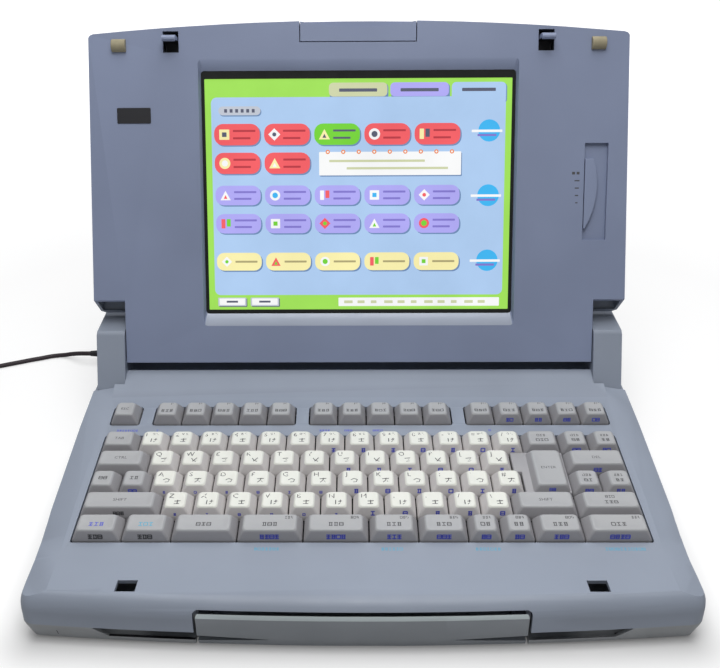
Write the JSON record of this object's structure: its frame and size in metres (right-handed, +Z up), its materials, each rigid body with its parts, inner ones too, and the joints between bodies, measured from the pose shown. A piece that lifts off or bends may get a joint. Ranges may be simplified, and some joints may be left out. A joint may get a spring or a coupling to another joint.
{
  "type": "electronic word processor",
  "caption": "Portable word processor with a sloping keyboard, hinged lid holding a colour panel, rear printer, side disk drive and pull-out carry handle.",
  "frame": {"origin": "on the table under the middle of the base, without its cord", "axes": "+X to the right of the person typing, +Y to the back of the machine, +Z up"},
  "size_m": [0.5806, 0.364, 0.2767],
  "materials": {
    "case_blue": "fine moulded texture",
    "case_grey": "fine moulded texture",
    "lid_blue": "fine moulded texture",
    "handle_grey": "satin",
    "key_white": "satin",
    "key_grey": "satin",
    "key_dark": "satin",
    "black_plastic": "matte",
    "gasket": "matte",
    "foot_rubber": "matte",
    "bumper_rubber": "matte",
    "platen_rubber": "ground",
    "panel": "lit colour panel",
    "steel": "plated",
    "bright_steel": "polished",
    "board_green": "solder resist",
    "board_tan": "paper laminate",
    "cord_brown": "satin"
  },
  "bodies": {
    "base": {"lower_case": "case_grey", "upper_case": "case_blue", "hinge_cover_left": "case_blue", "hinge_cover_right": "case_blue", "printer_chassis": "steel", "carriage_rod": "bright_steel", "floppy_drive": "black_plastic", "key_guide_plate": "steel", "main_board": "board_green", "power_supply": "board_tan", "power_inlet": "black_plastic", "switch_housing": "black_plastic", "rubber_feet": "foot_rubber", "case_screws": "steel", "cord_connector": "black_plastic", "cord": "cord_brown", "cord_coil": "cord_brown", "cord_plug": "black_plastic"},
    "lid": {"lid_bezel": "lid_blue", "lid_back": "case_blue", "lcd_panel": "panel", "lcd_gasket": "gasket", "inverter_board": "board_green", "lid_bumpers": "bumper_rubber", "hinge_left": "steel", "hinge_right": "steel", "badge_plate": "black_plastic"},
    "latch": {"release_latch": "lid_blue", "latch_bar": "steel", "hook_left": "bright_steel", "hook_right": "bright_steel"},
    "slider": {"contrast_slider": "lid_blue"},
    "print_cover": {"printer_cover": "case_blue"},
    "platen": {"platen": "platen_rubber"},
    "carriage": {"print_carriage": "black_plastic", "ribbon_cassette": "black_plastic"},
    "handle": {"carry_handle": "handle_grey"},
    "eject": {"eject_button": "key_grey"},
    "rocker": {"power_switch": "black_plastic"},
    "key_escape_body": {"key_escape": "key_dark"},
    "keys_function_left_body": {"keys_function_left": "key_dark"},
    "keys_function_middle_body": {"keys_function_middle": "key_dark"},
    "keys_function_right_body": {"keys_function_right": "key_dark"},
    "key_tab_body": {"key_tab": "key_grey"},
    "keys_number_row_body": {"keys_number_row": "key_white"},
    "keys_number_right_body": {"keys_number_right": "key_grey"},
    "key_caps_body": {"key_caps": "key_grey"},
    "keys_upper_row_body": {"keys_upper_row": "key_white"},
    "key_delete_body": {"key_delete": "key_grey"},
    "key_enter_body": {"key_enter": "key_grey"},
    "keys_home_left_body": {"keys_home_left": "key_grey"},
    "keys_home_row_body": {"keys_home_row": "key_white"},
    "keys_home_right_body": {"keys_home_right": "key_grey"},
    "key_shift_left_body": {"key_shift_left": "key_grey"},
    "keys_lower_row_body": {"keys_lower_row": "key_white"},
    "keys_lower_right_body": {"keys_lower_right": "key_grey"},
    "keys_bottom_left_body": {"keys_bottom_left": "key_grey"},
    "keys_bottom_middle_body": {"keys_bottom_middle": "key_grey"},
    "keys_bottom_right_body": {"keys_bottom_right": "key_grey"}
  },
  "joints": [
    {"name": "lid_hinge", "type": "hinge", "parent": "base", "child": "lid", "pos_m": [0, 0.04432, 0.06576], "axis": [1, 0, 0], "range_deg": [-4, 115]},
    {"name": "latch_slide", "type": "slide", "parent": "lid", "child": "latch", "axis": [0, 0.342, 0.9397], "range_m": [0, 0.003], "stiffness_N_per_m": 700, "springref_m": -0.002},
    {"name": "contrast_slide", "type": "slide", "parent": "lid", "child": "slider", "axis": [0, 0.342, 0.9397], "range_m": [-0.006, 0.01]},
    {"name": "print_cover_hinge", "type": "hinge", "parent": "base", "child": "print_cover", "pos_m": [0, 0.1488, 0.08075], "axis": [-1, 0, 0], "range_deg": [0, 80]},
    {"name": "platen_turn", "type": "hinge", "parent": "base", "child": "platen", "pos_m": [0, 0.145, 0.056], "axis": [1, 0, 0], "continuous": true},
    {"name": "carriage_slide", "type": "slide", "parent": "base", "child": "carriage", "axis": [1, 0, 0], "range_m": [-0.105, 0.105]},
    {"name": "handle_slide", "type": "slide", "parent": "base", "child": "handle", "axis": [0, -1, 0], "range_m": [0, 0.032]},
    {"name": "eject_press", "type": "slide", "parent": "base", "child": "eject", "axis": [-1, 0, 0], "range_m": [0, 0.004], "stiffness_N_per_m": 200},
    {"name": "power_rocker", "type": "hinge", "parent": "base", "child": "rocker", "pos_m": [-0.181, 0.096, 0.03], "axis": [0, 0, 1], "range_deg": [-8, 0]},
    {"name": "key_escape_press", "type": "slide", "parent": "base", "child": "key_escape_body", "axis": [0, 0.0872, -0.9962], "range_m": [0, 0.003], "stiffness_N_per_m": 200},
    {"name": "keys_function_left_press", "type": "slide", "parent": "base", "child": "keys_function_left_body", "axis": [0, 0.0872, -0.9962], "range_m": [0, 0.003], "stiffness_N_per_m": 1000},
    {"name": "keys_function_middle_press", "type": "slide", "parent": "base", "child": "keys_function_middle_body", "axis": [0, 0.0872, -0.9962], "range_m": [0, 0.003], "stiffness_N_per_m": 1000},
    {"name": "keys_function_right_press", "type": "slide", "parent": "base", "child": "keys_function_right_body", "axis": [0, 0.0872, -0.9962], "range_m": [0, 0.003], "stiffness_N_per_m": 1000},
    {"name": "key_tab_press", "type": "slide", "parent": "base", "child": "key_tab_body", "axis": [0, 0.0872, -0.9962], "range_m": [0, 0.003], "stiffness_N_per_m": 200},
    {"name": "keys_number_row_press", "type": "slide", "parent": "base", "child": "keys_number_row_body", "axis": [0, 0.0872, -0.9962], "range_m": [0, 0.003], "stiffness_N_per_m": 2600},
    {"name": "keys_number_right_press", "type": "slide", "parent": "base", "child": "keys_number_right_body", "axis": [0, 0.0872, -0.9962], "range_m": [0, 0.003], "stiffness_N_per_m": 600},
    {"name": "key_caps_press", "type": "slide", "parent": "base", "child": "key_caps_body", "axis": [0, 0.0872, -0.9962], "range_m": [0, 0.003], "stiffness_N_per_m": 200},
    {"name": "keys_upper_row_press", "type": "slide", "parent": "base", "child": "keys_upper_row_body", "axis": [0, 0.0872, -0.9962], "range_m": [0, 0.003], "stiffness_N_per_m": 2400},
    {"name": "key_delete_press", "type": "slide", "parent": "base", "child": "key_delete_body", "axis": [0, 0.0872, -0.9962], "range_m": [0, 0.003], "stiffness_N_per_m": 200},
    {"name": "key_enter_press", "type": "slide", "parent": "base", "child": "key_enter_body", "axis": [0, 0.0872, -0.9962], "range_m": [0, 0.003], "stiffness_N_per_m": 200},
    {"name": "keys_home_left_press", "type": "slide", "parent": "base", "child": "keys_home_left_body", "axis": [0, 0.0872, -0.9962], "range_m": [0, 0.003], "stiffness_N_per_m": 400},
    {"name": "keys_home_row_press", "type": "slide", "parent": "base", "child": "keys_home_row_body", "axis": [0, 0.0872, -0.9962], "range_m": [0, 0.003], "stiffness_N_per_m": 2400},
    {"name": "keys_home_right_press", "type": "slide", "parent": "base", "child": "keys_home_right_body", "axis": [0, 0.0872, -0.9962], "range_m": [0, 0.003], "stiffness_N_per_m": 400},
    {"name": "key_shift_left_press", "type": "slide", "parent": "base", "child": "key_shift_left_body", "axis": [0, 0.0872, -0.9962], "range_m": [0, 0.003], "stiffness_N_per_m": 200},
    {"name": "keys_lower_row_press", "type": "slide", "parent": "base", "child": "keys_lower_row_body", "axis": [0, 0.0872, -0.9962], "range_m": [0, 0.003], "stiffness_N_per_m": 2200},
    {"name": "keys_lower_right_press", "type": "slide", "parent": "base", "child": "keys_lower_right_body", "axis": [0, 0.0872, -0.9962], "range_m": [0, 0.003], "stiffness_N_per_m": 400},
    {"name": "keys_bottom_left_press", "type": "slide", "parent": "base", "child": "keys_bottom_left_body", "axis": [0, 0.0872, -0.9962], "range_m": [0, 0.003], "stiffness_N_per_m": 400},
    {"name": "keys_bottom_middle_press", "type": "slide", "parent": "base", "child": "keys_bottom_middle_body", "axis": [0, 0.0872, -0.9962], "range_m": [0, 0.003], "stiffness_N_per_m": 1000},
    {"name": "keys_bottom_right_press", "type": "slide", "parent": "base", "child": "keys_bottom_right_body", "axis": [0, 0.0872, -0.9962], "range_m": [0, 0.003], "stiffness_N_per_m": 800}
  ]
}
